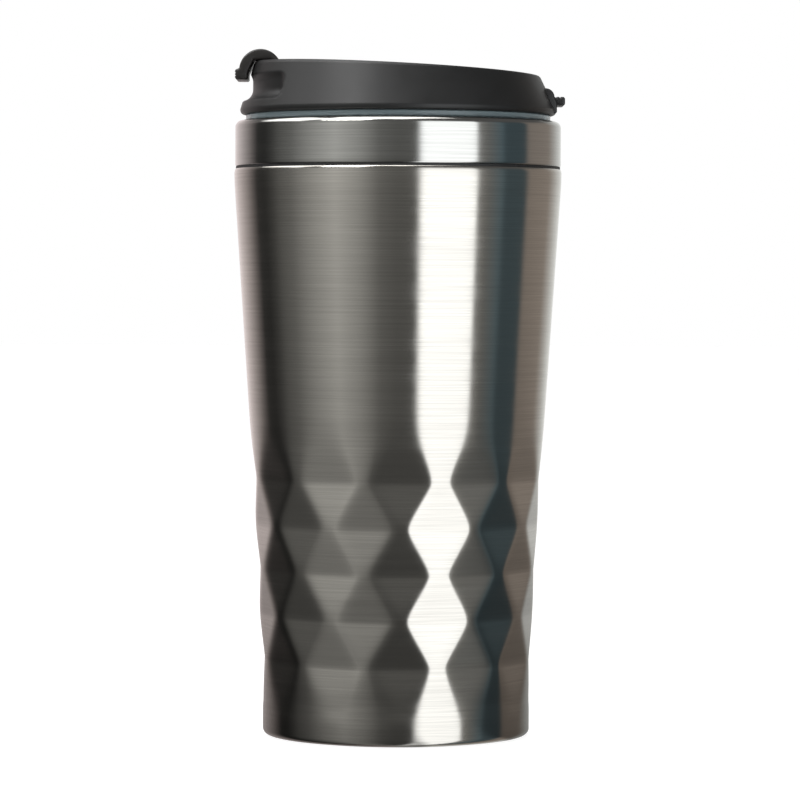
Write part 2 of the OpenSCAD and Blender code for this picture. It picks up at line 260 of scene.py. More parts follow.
brushedSteel = makeBrushedSteel("brushedStainlessBody", hexColour("#c3bfb8"), 0.17, 0.006)
collarSteel = makeBrushedSteel("brushedStainlessCollar", hexColour("#bbbab6"), 0.16, 0.005)
pinSteel = makeBrushedSteel("drawnSteelWire", hexColour("#c9c9c9"), 0.25, 0.004)
lidPlastic = makePlastic("blackPolypropyleneLid", "#191919", 0.44, 0.35, 0.015)
strapPlastic = makePlastic("blackPolypropyleneStrap", "#242220", 0.40, 0.35, 0.012)
linerPlastic = makePlastic("blackPolypropyleneLiner", "#2b2b2c", 0.34, 0.6, 0.008)
basePlastic = makePlastic("blackPolypropyleneBase", "#29292a", 0.5, 0.35, 0.03)
blackSilicone = makePlastic("blackSilicone", "#1c1c1d", 0.55, 0.5, 0.005)  # duller and smoother than the lid
padFoam = makePlastic("evaFoamPad", "#3a3a3b", 0.85, 0.5, 0.12)  # cut EVA foam, flat grey with open pores
clearSilicone = makeClearSilicone("clearSilicone")
print("materials made")


# outer shell: a cone with five staggered rows of pressed diamonds

shell = {
    "baseRadius": 32.65, "waistRadius": 35.75, "edgeRadius": 1.5, "wall": 0.5, "lipWidth": 3.0,
    "facetCount": 12, "rowCount": 5, "rowPitch": 11.0, "firstRow": 19.2, "turn": 2.2, "depth": 0.9,
    "runOut": 9.5, "creaseSoft": 0.6, "ridgeSoft": 0.18, "straightTop": 3.0, "turnIn": 1.3,
    "topRollIn": 0.46, "innerGap": 0.8, "steps": 360, "rowStep": 0.55,
}
shellLow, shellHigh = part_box("outer_shell")
shellBottom, shellTop = shellLow[2] / mm, shellHigh[2] / mm
mouthRadius = shellHigh[0] / mm
footZ = shell["firstRow"] - 0.85 * shell["rowPitch"]
waistZ = shell["firstRow"] + (shell["rowCount"] - 1 + 0.78) * shell["rowPitch"]
shoulderZ = shellTop - shell["straightTop"]


def mix(a, b, share):
    return a + (b - a) * share


def coneRadius(z):
    if z < footZ:
        return shell["baseRadius"]
    if z < waistZ:
        return mix(shell["baseRadius"], shell["waistRadius"], (z - footZ) / (waistZ - footZ))
    if z < shoulderZ:
        return mix(shell["waistRadius"], mouthRadius, (z - waistZ) / (shoulderZ - waistZ))
    return mouthRadius


def facetRadius(angle, z):
    # every facet is a pair of flats that meet in a level valley; the ridges between them are rounded
    pitch, apart, rowCount = shell["rowPitch"], 2 * math.pi / shell["facetCount"], shell["rowCount"]
    surfaces = [coneRadius(z)]
    for row in range(rowCount):
        rowZ = shell["firstRow"] + row * pitch
        away = z - rowZ
        if abs(away) > 1.6 * pitch:
            continue
        valley = coneRadius(rowZ) - shell["depth"]
        outside = (row == 0 and away < 0) or (row == rowCount - 1 and away > 0)
        reach = math.copysign(shell["runOut"] if outside else pitch, away)
        slope = (coneRadius(rowZ + reach) - valley) / abs(reach)
        height = math.sqrt(away ** 2 + shell["creaseSoft"] ** 2) - 0.5 * shell["creaseSoft"]
        middle = math.radians(shell["turn"]) + (row % 2) / 2 * apart
        turn = (angle - middle + apart / 2) % apart - apart / 2
        surfaces += [(valley + slope * height) / math.cos(side) for side in (turn, apart - abs(turn))]
    lowest, soft = min(surfaces), shell["ridgeSoft"]
    return lowest - soft * math.log(sum(math.exp((lowest - radius) / soft) for radius in surfaces))


def makeShell():
    base, edge, wall = shell["baseRadius"], shell["edgeRadius"], shell["wall"]
    lipRadius = base - shell["lipWidth"]
    low, high = footZ - 1.5, waistZ + 5.5
    facetRows = rows(low, high, round((high - low) / shell["rowStep"]))
    turnIn = shell["turnIn"]
    plainRows = rows(high, shellTop - turnIn, 24)[1:-1]
    inset = wall + shell["innerGap"]  # plain inner skin, out of sight behind the pressed facets
    profile = [(lipRadius, shellBottom + wall), (lipRadius, shellBottom + 0.15)]
    profile += [(lipRadius + 0.15, shellBottom)]
    profile += roundOff(base - edge, shellBottom + edge, edge, -90, 0, 10)
    profile += [(base, z) for z in rows(shellBottom + edge, low, 5)[1:-1]]
    profile += [(coneRadius(z), z) for z in facetRows + plainRows]
    for turn in rows(0, math.pi / 2, 10):  # the top edge is turned in towards the seam
        rollIn = shell["topRollIn"] * (1 - math.cos(turn))
        profile.append((mouthRadius - rollIn, shellTop - turnIn * (1 - math.sin(turn))))
    profile += [(mouthRadius - wall, shellTop), (mouthRadius - wall, shoulderZ - 1)]
    profile += [(coneRadius(z) - inset, z) for z in (shoulderZ - 8, waistZ, footZ)]
    profile += [(base - inset, shellBottom + edge), (base - edge, shellBottom + wall)]
    obj = turnProfile("outerShell", profile, shell["steps"], math.radians(shell["turn"]))
    for vertex in obj.data.vertices:
        x, y, z = (value / mm for value in vertex.co)
        radius = math.hypot(x, y)
        if low - 0.01 < z < shoulderZ - 1 and radius > coneRadius(z) - 0.1:
            share = facetRadius(math.atan2(y, x), z) / radius
            vertex.co.x, vertex.co.y = x * share * mm, y * share * mm
    smoothFinish(obj, 40)
    return obj


finishPiece(makeShell(), "mug", brushedSteel, "brushed_steel_body", "outer_shell")
print("outer shell made")


collar = {"edge": 1.6, "wall": 0.5, "rollIn": 0.8, "lowerEdge": 0.4, "rimWidth": 4.4}
collarLow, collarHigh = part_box("collar_ring")
linerLow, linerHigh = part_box("inner_liner")
sealLow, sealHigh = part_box("lid_seal")
rimZ, collarZ, collarRadius = collarHigh[2] / mm, collarLow[2] / mm, collarHigh[0] / mm
boreRadius = mouthRadius - collar["rimWidth"]


def makeCollar():
    edge, wall, low = collar["edge"], collar["wall"], collar["lowerEdge"]
    middle = (collarRadius - edge, rimZ - edge)
    rollRadius = boreRadius + collar["rollIn"]
    profile = roundOff(collarRadius - low, collarZ + low, low, -90, 0, 3)
    profile += [(collarRadius, z) for z in rows(collarZ + low, rimZ - edge, 8)[1:-1]]
    profile += roundOff(*middle, edge, 0, 90, 10)
    profile += roundOff(rollRadius + 0.2, rimZ - 0.2, 0.2, 90, 180, 3)
    profile += [(rollRadius, rimZ - wall)]
    profile += roundOff(*middle, edge - wall, 90, 0, 6)
    profile += [(collarRadius - wall, collarZ)]
    obj = turnProfile("collarRing", profile, 320)
    smoothFinish(obj)
    return obj


finishPiece(makeCollar(), "mug", collarSteel, "brushed_steel_collar", "collar_ring")


liner = {  # stands airGap inside facets that are facetDepth deep
    "wall": 1.6, "facetDepth": 0.77, "airGap": 1.9, "fit": 0.05, "corner": 4.0, "boreLength": 20.0,
    "rimBead": 0.8, "rimRound": 0.35,
}


def linerRadius(z):
    return coneRadius(z) - liner["facetDepth"] - shell["wall"] - liner["airGap"]


def makeLiner():
    wall, corner, bead, edge = liner["wall"], liner["corner"], liner["rimBead"], liner["rimRound"]
    bottom, top = linerLow[2] / mm, linerHigh[2] / mm
    floorZ, neckZ = bottom + wall, top - liner["boreLength"]
    outer, inner = linerRadius(bottom), linerRadius(floorZ) - wall
    fit = liner["fit"]
    neck = mouthRadius - shell["wall"] - fit
    underCollar = collarRadius - collar["wall"] - fit
    shoulder = collar["edge"] - collar["wall"] - fit
    profile = [(0, bottom)]
    profile += roundOff(outer - corner, bottom + corner, corner, -90, 0, 8)
    profile += [(linerRadius(waistZ), waistZ), (boreRadius + wall, neckZ - wall), (neck, shoulderZ + fit)]
    profile += [(neck, shellTop), (mouthRadius - 2, shellTop), (mouthRadius - 2, collarZ)]
    profile += [(underCollar, collarZ)]
    profile += roundOff(underCollar - shoulder, rimZ - collar["edge"], shoulder, 0, 90, 4)
    profile += [(boreRadius + bead, rimZ - collar["wall"] - fit), (boreRadius + bead, top - edge)]
    profile += roundOff(boreRadius + bead - edge, top - edge, edge, 0, 90, 4)
    profile += roundOff(boreRadius + edge, top - edge, edge, 90, 180, 4)
    profile += [(boreRadius, z) for z in rows(top - edge, neckZ + 1, 4)[1:]]
    profile += [(mix(boreRadius, linerRadius(waistZ) - wall, share), mix(neckZ, waistZ, share))
                for share in (0, 0.02, 0.5, 1)]
    profile += roundOff(inner - corner, floorZ + corner, corner, 0, -90, 10)
    profile += [(8, floorZ), (7.6, floorZ - 0.15), (0, floorZ - 0.15)]  # shallow dimple where it was injected
    obj = turnProfile("innerLiner", profile, 256)
    smoothFinish(obj, 30)
    return obj


finishPiece(makeLiner(), "mug", linerPlastic, "liner_plastic", "inner_liner")


baseCap = {"wall": 1.8, "fit": 0.05, "ringRadii": (8.0, 16.0, 24.0), "ringHeight": 1.5}
baseLow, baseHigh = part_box("base_cap")
padLow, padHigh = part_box("foot_pad")


def makeBaseCap():
    bottom, top = baseLow[2] / mm, baseHigh[2] / mm
    skirtRadius, wall = baseHigh[0] / mm, baseCap["wall"]
    fit, ringTop = baseCap["fit"], bottom + wall + baseCap["ringHeight"]
    lipRadius = shell["baseRadius"] - shell["lipWidth"] - fit
    profile = [(0, bottom), (lipRadius - 0.2, bottom), (lipRadius, bottom + fit)]
    profile += [(shell["baseRadius"] - shell["edgeRadius"], bottom + fit)]
    profile += [(skirtRadius, bottom + shell["edgeRadius"])]
    profile += [(skirtRadius, top), (skirtRadius - wall, top), (skirtRadius - wall, bottom + wall)]
    for radius in sorted(baseCap["ringRadii"], reverse=True):  # stiffening ribs inside
        profile += [(radius + 0.6, bottom + wall), (radius + 0.5, ringTop)]
        profile += [(radius - 0.5, ringTop), (radius - 0.6, bottom + wall)]
    profile += [(0, bottom + wall)]
    obj = turnProfile("baseCap", profile, 192)
    smoothFinish(obj, 30)
    return obj


footPad = {"grooveRadii": (12.0, 17.0, 22.0), "grooveDepth": 0.2, "dish": 0.15, "round": 0.3}


def makeFootPad():
    low, high, radius = padLow[2] / mm, padHigh[2] / mm, padHigh[0] / mm
    dish, deep, edge = low + footPad["dish"], low + footPad["grooveDepth"], footPad["round"]
    profile = [(0, dish), (7, dish), (7.3, low)]  # dished middle
    for ring in footPad["grooveRadii"]:  # grooves that let the pad grip a wet table
        profile += [(ring - 0.45, low), (ring - 0.25, deep), (ring + 0.25, deep), (ring + 0.45, low)]
    profile += roundOff(radius - edge, low + edge, edge, -90, 0, 4)
    profile += [(radius, high), (0, high)]
    obj = turnProfile("footPad", profile, 192)
    smoothFinish(obj, 30)
    return obj


finishPiece(makeBaseCap(), "mug", basePlastic, "base_plastic", "base_cap")
finishPiece(makeFootPad(), "mug", padFoam, "pad_foam", "foot_pad")
print("collar, liner, base and pad made")


# lid cap: slanted cone, groove under the lip, recessed deck

lid = {
    "edgeRound": 1.0, "sideWidth": 3.75, "rimHeight": 11.25, "rimShift": 0.25, "slant": 2.73, "wall": 2.0,
    "deckDepth": 4.8, "rimRound": 0.35, "deckFillet": 1.2, "plugFlange": 0.7, "plugFlangeHeight": 1.2,
    "grooveLow": 6.8, "grooveHigh": 5.1,  # centres of the groove's roundings, below the lip
    "grooveRadius": 3.0, "grooveHalfAngle": 38.0, "grooveEnd": 3.0, "grooveSoft": 0.12, "steps": 360,
    "slotWidth": 11.0, "slotDepth": 6.0, "slotGap": 0.5, "slotFromRim": 8.0, "ventX": -14.0, "vent": 1.6,
}
lidLow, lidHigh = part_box("lid_cap")
lidZ, lidRadius = lidLow[2] / mm, lidHigh[1] / mm
lidRimZ = lidZ + lid["rimHeight"]
lidRimRadius = lidRadius - lid["sideWidth"]
deckZ = lidRimZ - lid["deckDepth"]
lipZ = lidRimZ + (lidRimRadius + lid["rimShift"]) * math.tan(math.radians(lid["slant"]))
sealRadius = sealHigh[0] / mm
flangeRadius = sealRadius - lid["plugFlange"] + 0.05
grooveWall = lidRimRadius + lid["rimShift"] + 0.4
hollowRadius = grooveWall - lid["wall"]


def grooveReach(angle, z):  # how far out the lid's side reaches where the groove passes, or a large number
    radius = lid["grooveRadius"]
    middleR, low, high = grooveWall + radius, lipZ - lid["grooveLow"], lipZ - lid["grooveHigh"]
    fromFront = abs((math.degrees(angle) % 360) - 180)
    past = max(0.0, math.radians(fromFront - lid["grooveHalfAngle"]) * middleR)
    beyond = past * radius / lid["grooveEnd"]
    inside = radius ** 2 - max(low - z, 0, z - high) ** 2 - beyond ** 2
    return middleR - math.sqrt(inside) if inside > 0 else 1000.0


def makeLidShape():
    edge, rim, fillet = lid["edgeRound"], lid["rimRound"], lid["deckFillet"]
    dishRadius = lidRimRadius - lid["wall"]
    sideZ = lidZ + edge + 0.3
    under = deckZ - lid["wall"]
    slope = math.degrees(math.atan2(lid["sideWidth"], lidRimZ - sideZ))
    profile = [(0, under), (hollowRadius - 1, under), (hollowRadius, under - 1)]
    profile += [(hollowRadius, lidZ + lid["plugFlangeHeight"] + 0.05)]
    profile += [(flangeRadius, lidZ + lid["plugFlangeHeight"] + 0.05), (flangeRadius, lidZ)]
    profile += roundOff(lidRadius - edge, lidZ + edge, edge, -90, 0, 8)
    side = [(mix(lidRadius, lidRimRadius, share), mix(sideZ, lidRimZ, share)) for share in rows(0, 1, 44)]
    profile += side[:-2]
    profile += roundOff(lidRimRadius - rim - 0.05, lidRimZ - rim, rim, slope, 90, 6)
    profile += roundOff(dishRadius + rim * 0.8, lidRimZ - rim * 0.8, rim * 0.8, 90, 180, 5)
    profile += [(dishRadius - 0.1, mix(lidRimZ, deckZ, share)) for share in (0.4, 0.6)]
    profile += roundOff(dishRadius - 0.3 - fillet, deckZ + fillet, fillet, 0, -90, 6)
    profile += [(dishRadius * share, deckZ) for share in (0.85, 0.6, 0.3, 0)]
    obj = turnProfile("lidCap", profile, lid["steps"])
    tilt = math.tan(math.radians(lid["slant"]))
    for vertex in obj.data.vertices:
        x, y, z = (value / mm for value in vertex.co)
        radius, angle = math.hypot(x, y), math.atan2(y, x)
        if z > sideZ and radius > dishRadius - 2:
            start = sideZ if radius > hollowRadius + 1.5 else deckZ
            rise = max(0.0, (z - start) / (lidRimZ - start))
            z -= x / max(radius, 1) * lidRimRadius * tilt * rise
            if radius > dishRadius + 0.6:
                x -= lid["rimShift"] * rise
                z += lid["rimShift"] * tilt * rise
                radius, angle = math.hypot(x, y), math.atan2(y, x)
        if radius > lidRimRadius - 0.4 and z < lipZ - 1.2 and z > lidZ + 0.5:
            reach = softMin(radius, grooveReach(angle, z), lid["grooveSoft"])
            x, y = x * reach / radius, y * reach / radius
        vertex.co = Vector((x, y, z)) * mm
    return obj


def stadium(name, width, depth, z0, z1, x, round=0.0, segments=24):
    # an upright slot-shaped block: half circles at both ends, pulled up from z0 to z1
    half, radius = (width - depth) / 2, depth / 2
    right = [(x + radius * math.cos(a), half + radius * math.sin(a))
             for a in (math.pi * i / segments for i in range(segments + 1))]
    outline = right + [(2 * x - px, -py) for px, py in right]
    points = [(px * mm, py * mm, z0 * mm) for px, py in outline]
    obj = startChain(name, points[0])
    extrudeChain(points + [points[0]])
    bpy.ops.mesh.select_all(action="SELECT")
    bpy.ops.mesh.remove_doubles(threshold=0.002 * mm)
    bpy.ops.mesh.select_all(action="SELECT")
    bpy.ops.mesh.edge_face_add()
    bpy.ops.mesh.extrude_region_move(TRANSFORM_OT_translate={"value": (0, 0, (z1 - z0) * mm)})
    bpy.ops.mesh.select_all(action="SELECT")
    bpy.ops.mesh.normals_make_consistent(inside=False)
    bpy.ops.object.mode_set(mode="OBJECT")
    if round:
        bevel = obj.modifiers.new("round", "BEVEL")
        bevel.width, bevel.segments, bevel.angle_limit = round * mm, 4, math.radians(60)
        selectOnly(obj)
        bpy.ops.object.modifier_apply(modifier=bevel.name)
    return obj


pry = {
    "width": 12.0, "thickness": 2.1, "reach": 2.0, "height": 2.35, "tabRound": 0.55, "grooves": (0.9, 1.9),
    "bossRadius": 2.2, "bossIn": 0.6, "bossHeight": 4.3, "round": 0.5,
}
strapLow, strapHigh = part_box("flip_strap")
pinLow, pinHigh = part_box("hinge_pin")
hingeX, hingeZ = (pinLow[0] + pinHigh[0]) / 2 / mm, (pinLow[2] + pinHigh[2]) / 2 / mm
pinRadius = (pinHigh[2] - pinLow[2]) / 2 / mm
earOut = pinHigh[1] / mm
ear = {"thickness": 2.6, "radius": 2.3, "foot": 4.2, "round": 0.3}


def makeBoss():
    radius = pry["bossRadius"]
    bossX, bossZ = lidRadius - radius - pry["bossIn"], lidZ + pry["bossHeight"]
    outline = [(bossX - radius, lidZ + 0.4), (lidRadius - 0.3, lidZ + 0.4), (lidRadius, lidZ + 0.7)]
    outline += [(lidRadius, bossZ - 1.2)]
    outline += roundOff(bossX, bossZ, radius, 0, 100, 10)
    outline += [(bossX - radius, bossZ + radius)]
    width = pry["width"] + 2
    boss = extrudeOutline("boss", outline, -width / 2, width / 2, pry["round"])
    tip = lidRadius + pry["reach"]
    low, high = lidZ + pry["height"], lidZ + pry["height"] + pry["thickness"]
    edge = pry["tabRound"]
    outline = [(bossX, low)]
    outline += roundOff(tip - edge, low + edge, edge, -90, 0, 5)
    outline += roundOff(tip - edge, high - edge, edge, 0, 90, 5)
    for ridge in pry["grooves"]:  # grip grooves on the tab's top
        outline += [(tip - ridge - 0.15, high), (tip - ridge - 0.35, high - 0.25)]
        outline += [(tip - ridge - 0.55, high)]
    outline += [(bossX, high)]
    tab = extrudeOutline("tab", outline, -pry["width"] / 2, pry["width"] / 2, pry["round"])
    return boss, tab


def makeEar(side):
    inner = earOut - ear["thickness"]
    y0, y1 = (inner, earOut) if side > 0 else (-earOut, -inner)
    radius, foot = ear["radius"], ear["foot"]
    outline = [(hingeX - foot, deckZ - 0.5), (hingeX + foot, deckZ - 0.5), (hingeX + foot, deckZ + 0.1)]
    outline += [(hingeX + radius + 0.4, deckZ + 0.9)]
    outline += roundOff(hingeX, hingeZ, radius, 0, 180, 16)
    outline += [(hingeX - radius - 0.4, deckZ + 0.9), (hingeX - foot, deckZ + 0.1)]
    obj = extrudeOutline("ear", outline, y0, y1, ear["round"])
    bpy.ops.object.select_all(action="DESELECT")
    bpy.ops.mesh.primitive_cylinder_add(
        vertices=48, radius=(pinRadius + 0.04) * mm, depth=20 * mm,
        location=(hingeX * mm, (y0 + y1) / 2 * mm, hingeZ * mm), rotation=(math.pi / 2, 0, 0))
    cutWith(obj, bpy.context.object)
    return obj


def makeLidCap():
    obj = makeLidShape()
    slotX = -(lidRimRadius - lid["slotFromRim"])
    gap = 2 * lid["slotGap"]
    slot = stadium("slot", lid["slotWidth"] + gap, lid["slotDepth"] + gap, deckZ - 4, deckZ + 2, slotX)
    cutWith(obj, slot)
    cutWith(obj, stadium("vent", lid["vent"] + 0.01, lid["vent"], deckZ - 4, deckZ + 2, lid["ventX"]))
    smoothFinish(obj, 38)
    added = list(makeBoss()) + [makeEar(1), makeEar(-1)]
    for piece in added:
        smoothFinish(piece, 35)
    selectOnly(obj)
    for piece in added:
        piece.select_set(True)
    bpy.ops.object.join()
    return bpy.context.object


finishPiece(makeLidCap(), "lid", lidPlastic, "lid_plastic", "lid_cap")
print("lid cap made")


plugRing = {"wall": 1.8, "sleeve": 0.7, "clearance": 1.4, "footFlange": 0.9, "round": 0.3}
plugLow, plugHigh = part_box("lid_plug_ring")


def makePlugRing():
    bottom, top = plugLow[2] / mm, plugHigh[2] / mm
    plugRadius = boreRadius - plugRing["clearance"]
    sleeve = plugRadius - plugRing["sleeve"]
    inner, edge = sleeve - plugRing["wall"], plugRing["round"]
    foot = plugRadius + plugRing["footFlange"]
    profile = roundOff(inner + edge, bottom + edge, edge, 180, 270, 4)
    profile += roundOff(foot - edge, bottom + edge, edge, -90, 0, 4)
    profile += roundOff(foot - edge, bottom + 1.2 - edge, edge, 0, 90, 4)
    profile += [(sleeve, bottom + 1.2), (sleeve, lidZ)]
    profile += [(flangeRadius - 0.05, lidZ), (flangeRadius - 0.05, top), (inner, top)]
    obj = turnProfile("lidPlugRing", profile, 256)
    smoothFinish(obj, 35)
    return obj


def makeLidSeal():
    bottom, top, edge = sealLow[2] / mm, sealHigh[2] / mm, 0.35
    plugRadius = boreRadius - plugRing["clearance"]
    sleeve, lip = plugRadius - plugRing["sleeve"], boreRadius - 0.1
    flangeLow = rimZ + 0.1
    profile = [(sleeve, bottom), (plugRadius, bottom)]
    for low in (bottom + 0.8, bottom + 3.2):  # two wiping lips
        profile += [(plugRadius, low), (lip - 0.3, low + 0.45)]
        profile += roundOff(lip - 0.25, low + 0.75, 0.25, -60, 60, 4)
        profile += [(plugRadius + 0.3, low + 1.5), (plugRadius, low + 1.8)]
    profile += [(plugRadius, flangeLow - 0.3), (plugRadius + 0.3, flangeLow)]
    profile += roundOff(sealRadius - edge, flangeLow + edge, edge, -90, 0, 5)
    profile += roundOff(sealRadius - edge, top - edge, edge, 0, 90, 5)
    profile += [(sleeve, top)]
    obj = turnProfile("lidSeal", profile, 320)
    smoothFinish(obj, 40)
    return obj


finishPiece(makePlugRing(), "lid", lidPlastic, "lid_plastic", "lid_plug_ring")
finishPiece(makeLidSeal(), "lid", clearSilicone, "clear_silicone", "lid_seal")


strap = {
    "thickness": 2.2, "barrel": 2.5, "hood": 5.2, "hoodWall": 2.1, "lipGap": 0.2,
    "hoodIn": 1.35, "hoodDrop": 2.4,  # the hood's centre, inside the rim and below the lip
    "tabDrop": 2.2, "tabHeight": 2.55, "edge": 0.45, "tabRound": 0.6,
    "gripHeights": (0.95, 1.6), "gripDepth": 0.3,
    "panelEnds": (-21.6, -0.4), "panelWidth": 9.0, "panelDepth": 0.35,
}


def makeStrap():
    hood, inner = strap["hood"], strap["hood"] - strap["hoodWall"]
    hoodX, hoodZ = -(lidRimRadius - strap["hoodIn"]), lipZ - strap["hoodDrop"]
    low = deckZ + 0.6
    high = low + strap["thickness"]
    tabX, tabLow = strapLow[0] / mm, hoodZ - strap["tabDrop"]
    tabHigh, r = tabLow + strap["tabHeight"], strap["tabRound"]
    riser = hoodX + inner
    lipX, lipTop = -(lidRimRadius + lid["rimShift"] + strap["lipGap"]), lipZ + strap["lipGap"]
    wideX = lipX - 3 * lid["sideWidth"] / (lid["rimHeight"] - 2.5)
    outline = [(hingeX, hingeZ - strap["barrel"])]
    outline += [(hingeX - 2.2, low), (riser + 0.5, low), (riser + 0.15, low + 0.15), (riser, low + 0.5)]
    outline += roundOff(riser - 0.9, lipTop - 0.9, 0.9, 0, 90, 6)
    outline += roundOff(lipX + 0.5, lipTop - 0.5, 0.5, 90, 155, 5)
    outline += [(mix(lipX, wideX, 0.9), lipZ - 2.7), (wideX, lipZ - 3.1)]
    outline += roundOff(wideX - 0.5, tabLow + 0.5, 0.5, 0, -90, 4)
    outline += roundOff(tabX + r, tabLow + r, r, -90, -180, 5)
    outline += roundOff(tabX + r, tabHigh - r, r, 180, 90, 5)
    rise = math.degrees(math.asin((tabHigh + 0.25 - hoodZ) / hood))
    outline += roundOff(hoodX, hoodZ, hood, 180 - rise, 0, 30)
    outline += [(hoodX + hood + 0.1, high + 0.35), (hoodX + hood + 0.5, high)]
    outline += [(hingeX - 3.4, high), (hingeX - 2.6, high + 0.25)]
    outline += roundOff(hingeX, hingeZ, strap["barrel"], 168, -88, 28)
    obj = extrudeOutline("flipStrap", outline, strapLow[1] / mm, strapHigh[1] / mm, strap["edge"])
    bpy.ops.object.select_all(action="DESELECT")
    bpy.ops.mesh.primitive_cylinder_add(
        vertices=64, radius=(pinRadius + 0.05) * mm, depth=30 * mm,
        location=(hingeX * mm, 0, hingeZ * mm), rotation=(math.pi / 2, 0, 0))
    cutWith(obj, bpy.context.object)
    for height in strap["gripHeights"]:  # grip grooves on the tab's face
        z = tabLow + height
        groove = [(tabX - 0.9, z - 0.8), (tabX + strap["gripDepth"], z), (tabX - 0.9, z + 0.8)]
        cutWith(obj, extrudeOutline("grip", groove, -8, 8))
    # shallow finger panel pressed into the top of the bar
    (back, front), deep, side = strap["panelEnds"], high - strap["panelDepth"], strap["panelWidth"] / 2
    panel = [(back - 0.9, high + 1), (back, deep), (front, deep), (front + 0.9, high + 1)]
    cutWith(obj, extrudeOutline("panel", panel, -side, side))
    smoothFinish(obj, 32)
    return obj


def makeSpoutPlug():
    slotX = -(lidRimRadius - lid["slotFromRim"])
    width, depth = lid["slotWidth"], lid["slotDepth"]
    obj = stadium("spoutPlug", width - 0.4, depth - 0.4, deckZ - 2.2, deckZ + 0.4, slotX, round=0.6)
    flange = stadium("flange", width + 1.6, depth + 1.6, deckZ + 0.15, deckZ + 0.6, slotX, round=0.15)
    cutWith(obj, flange, "UNION")
    smoothFinish(obj, 40)
    return obj


def makePin():
    bpy.ops.object.select_all(action="DESELECT")
    bpy.ops.mesh.primitive_cylinder_add(
        vertices=64, radius=pinRadius * mm, depth=2 * earOut * mm,
        location=(hingeX * mm, 0, hingeZ * mm), rotation=(math.pi / 2, 0, 0))
    obj = bpy.context.object
    obj.name = obj.data.name = "hingePin"
    bpy.ops.object.transform_apply(location=True, rotation=True, scale=True)
    bevel = obj.modifiers.new("chamfer", "BEVEL")
    bevel.width, bevel.segments, bevel.angle_limit = 0.25 * mm, 3, math.radians(60)
    bpy.ops.object.modifier_apply(modifier=bevel.name)
    smoothFinish(obj, 40)
    return obj


finishPiece(makeStrap(), "strap", strapPlastic, "strap_plastic", "flip_strap")
finishPiece(makeSpoutPlug(), "strap", blackSilicone, "black_silicone", "spout_plug")
finishPiece(makePin(), "lid", pinSteel, "pin_steel", "hinge_pin")
print("strap, plug and pin made")

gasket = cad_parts["seam_gasket"]
gasket.data.materials.clear()
gasket.data.materials.append(blackSilicone)


studio = {
    "floor": "#8f8e8c", "floorGlow": 0.92, "backdrop": 1.0, "domeRadius": 6.0,
    # painted shade: the table's reflection is dark beside the mug and clears with distance: metres, share let
    # through
    "tableCard": [(0.0, 0.34), (0.12, 0.40), (0.35, 0.58), (0.70, 0.76), (1.30, 1.0)],
    # level above the walls' reflections, and the elevations it fades in between
    "overhead": (0.12, 14.0, 30.0),
    # how far the table gleams instead of darkening, by azimuth
    "stripGlow": [(0.0, 0.0), (11.0, 0.0), (17.0, 0.8), (57.0, 0.8), (64.0, 0.0), (180.0, 0.0)],
    "tints": {
        "plain": (0.99, 1.0, 0.98), "white": (0.97, 1.0, 1.03), "cool": (0.72, 1.02, 1.18),
        "brown": (1.12, 0.98, 0.88), "pink": (1.08, 0.97, 0.97)},
    # what the steel mirrors, by azimuth in degrees from the camera, positive to its right
    "bands": [
        (-180, 0.88, "pink"), (-163, 0.84, "pink"), (-146, 0.62, "pink"), (-134, 0.38, "pink"),
        (-125, 0.17, "pink"), (-118, 0.04, "plain"), (-108, 0.035, "plain"), (-100, 0.07, "plain"),
        (-92, 0.14, "plain"), (-81, 0.20, "plain"), (-62, 0.46, "plain"), (-45, 0.66, "plain"),
        (-28, 0.45, "plain"), (-13, 0.20, "plain"), (-1, 0.15, "plain"), (13.5, 0.15, "plain"),
        (17.5, 2.15, "white"), (56.5, 2.05, "white"), (58.5, 0.32, "plain"), (66, 0.21, "plain"),
        (78, 0.18, "cool"), (82, 0.10, "cool"), (101, 0.10, "cool"), (106, 0.28, "brown"),
        (133, 0.31, "brown"), (152, 0.70, "plain"), (170, 0.88, "plain"),
    ],
}


def makeStage():
    bpy.ops.object.select_all(action="DESELECT")
    bpy.ops.mesh.primitive_circle_add(vertices=96, radius=studio["domeRadius"] * 0.999, fill_type="NGON")
    floor = bpy.context.object
    floor.name = "floor"
    material, tree = newMaterial("paleFloor")
    shader = addNode(tree, "ShaderNodeBsdfPrincipled", {
        "Base Color": hexColour(studio["floor"]), "Roughness": 0.7, "Specular IOR Level": 0.2,
        "Emission Color": (1, 1, 1, 1), "Emission Strength": studio["floorGlow"]})
    endMaterial(tree, shader)
    floor.data.materials.append(material)
    floor.visible_glossy = False
    bpy.ops.object.select_all(action="DESELECT")
    bpy.ops.mesh.primitive_uv_sphere_add(segments=96, ring_count=48, radius=studio["domeRadius"])
    dome = bpy.context.object
    dome.name = "backdrop"
    material, tree = newMaterial("whiteBackdrop")
    endMaterial(tree, addNode(tree, "ShaderNodeEmission", {"Strength": studio["backdrop"]}))
    dome.data.materials.append(material)
    for ray in ("visible_glossy", "visible_diffuse", "visible_shadow", "visible_transmission"):
        setattr(dome, ray, False)
